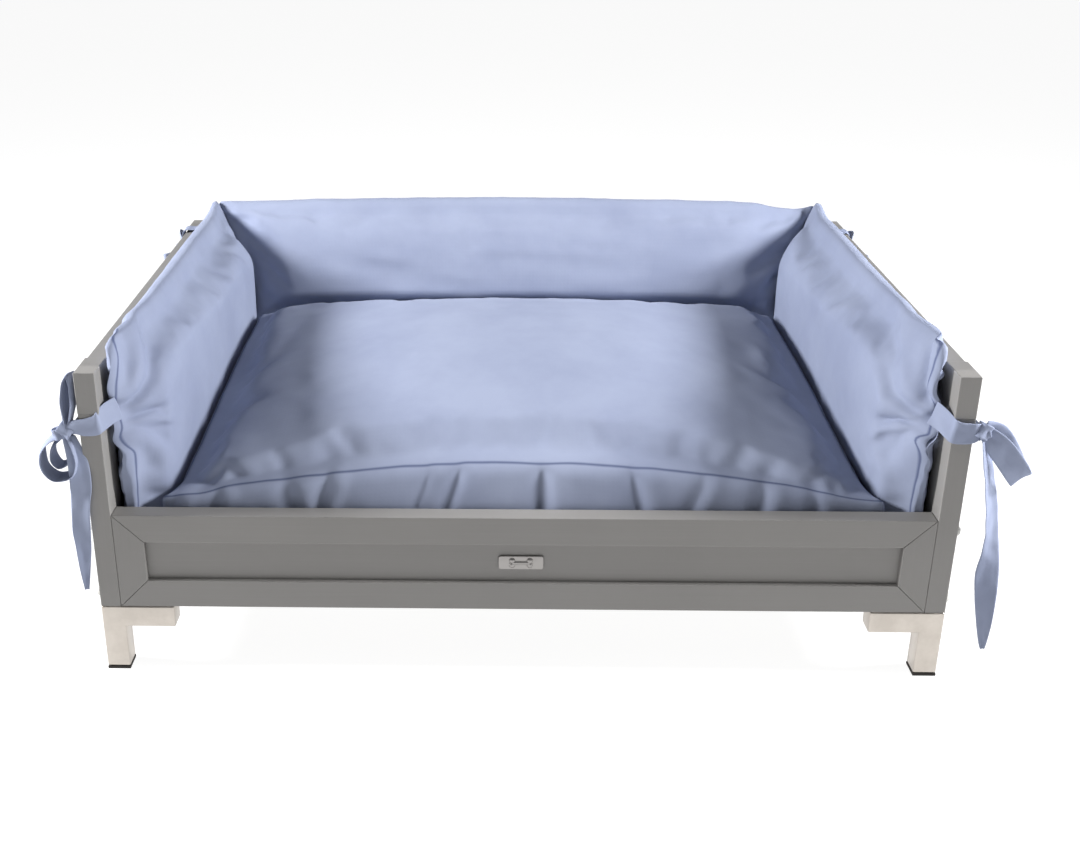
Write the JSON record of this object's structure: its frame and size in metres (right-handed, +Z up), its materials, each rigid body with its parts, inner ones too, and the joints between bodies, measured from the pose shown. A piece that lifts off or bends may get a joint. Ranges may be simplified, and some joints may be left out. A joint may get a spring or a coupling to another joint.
{
  "type": "dog bed with frame",
  "caption": "Raised dog bed: low frame-and-panel box on short square-tube legs, with a thick mattress and three upright bolsters tied to the corner posts.",
  "frame": {"origin": "on the floor, under the middle of the frame", "axes": "+X to the right seen from the low front panel, +Y from the front to the back, +Z up"},
  "size_m": [1.031, 0.6245, 0.398],
  "materials": {
    "frame_board": "satin",
    "base_board": "matte",
    "leg_steel": "satin",
    "foot_rubber": "matte",
    "bolt_cap": "satin",
    "badge_metal": "satin",
    "mattress_cotton": "matte",
    "bolster_cotton": "matte",
    "tie_cotton": "matte",
    "foam": "matte"
  },
  "bodies": {
    "frame": {"back_bolster": "bolster_cotton", "back_bottom_rail": "frame_board", "back_infill_panel": "frame_board", "back_left_stile": "frame_board", "back_right_stile": "frame_board", "back_top_rail": "frame_board", "centre_support_beam": "base_board", "front_badge_plate": "badge_metal", "front_bottom_rail": "frame_board", "front_cleat": "base_board", "front_infill_panel": "frame_board", "front_left_foot_plug": "foot_rubber", "front_left_leg": "leg_steel", "front_left_lower_bolt": "bolt_cap", "front_left_stile": "frame_board", "front_left_tie": "tie_cotton", "front_left_upper_bolt": "bolt_cap", "front_right_foot_plug": "foot_rubber", "front_right_leg": "leg_steel", "front_right_lower_bolt": "bolt_cap", "front_right_stile": "frame_board", "front_right_tie": "tie_cotton", "front_right_upper_bolt": "bolt_cap", "front_top_rail": "frame_board", "left_bolster": "bolster_cotton", "left_bottom_rail": "frame_board", "left_cleat": "base_board", "left_front_corner_block": "frame_board", "left_front_post": "frame_board", "left_infill_panel": "frame_board", "left_platform_board": "base_board", "left_rear_corner_block": "frame_board", "left_rear_post": "frame_board", "left_top_rail": "frame_board", "rear_cleat": "base_board", "rear_left_foot_plug": "foot_rubber", "rear_left_leg": "leg_steel", "rear_left_lower_bolt": "bolt_cap", "rear_left_tie": "tie_cotton", "rear_left_upper_bolt": "bolt_cap", "rear_right_foot_plug": "foot_rubber", "rear_right_leg": "leg_steel", "rear_right_lower_bolt": "bolt_cap", "rear_right_tie": "tie_cotton", "rear_right_upper_bolt": "bolt_cap", "right_bolster": "bolster_cotton", "right_bottom_rail": "frame_board", "right_cleat": "base_board", "right_front_corner_block": "frame_board", "right_front_post": "frame_board", "right_infill_panel": "frame_board", "right_platform_board": "base_board", "right_rear_corner_block": "frame_board", "right_rear_post": "frame_board", "right_top_rail": "frame_board"},
    "mattress": {"mattress_core": "foam", "mattress_cover": "mattress_cotton"}
  },
  "joints": [
    {"name": "mattress_lift", "type": "slide", "parent": "frame", "child": "mattress", "axis": [0, 0, 1], "range_m": [0, 0.3]}
  ]
}
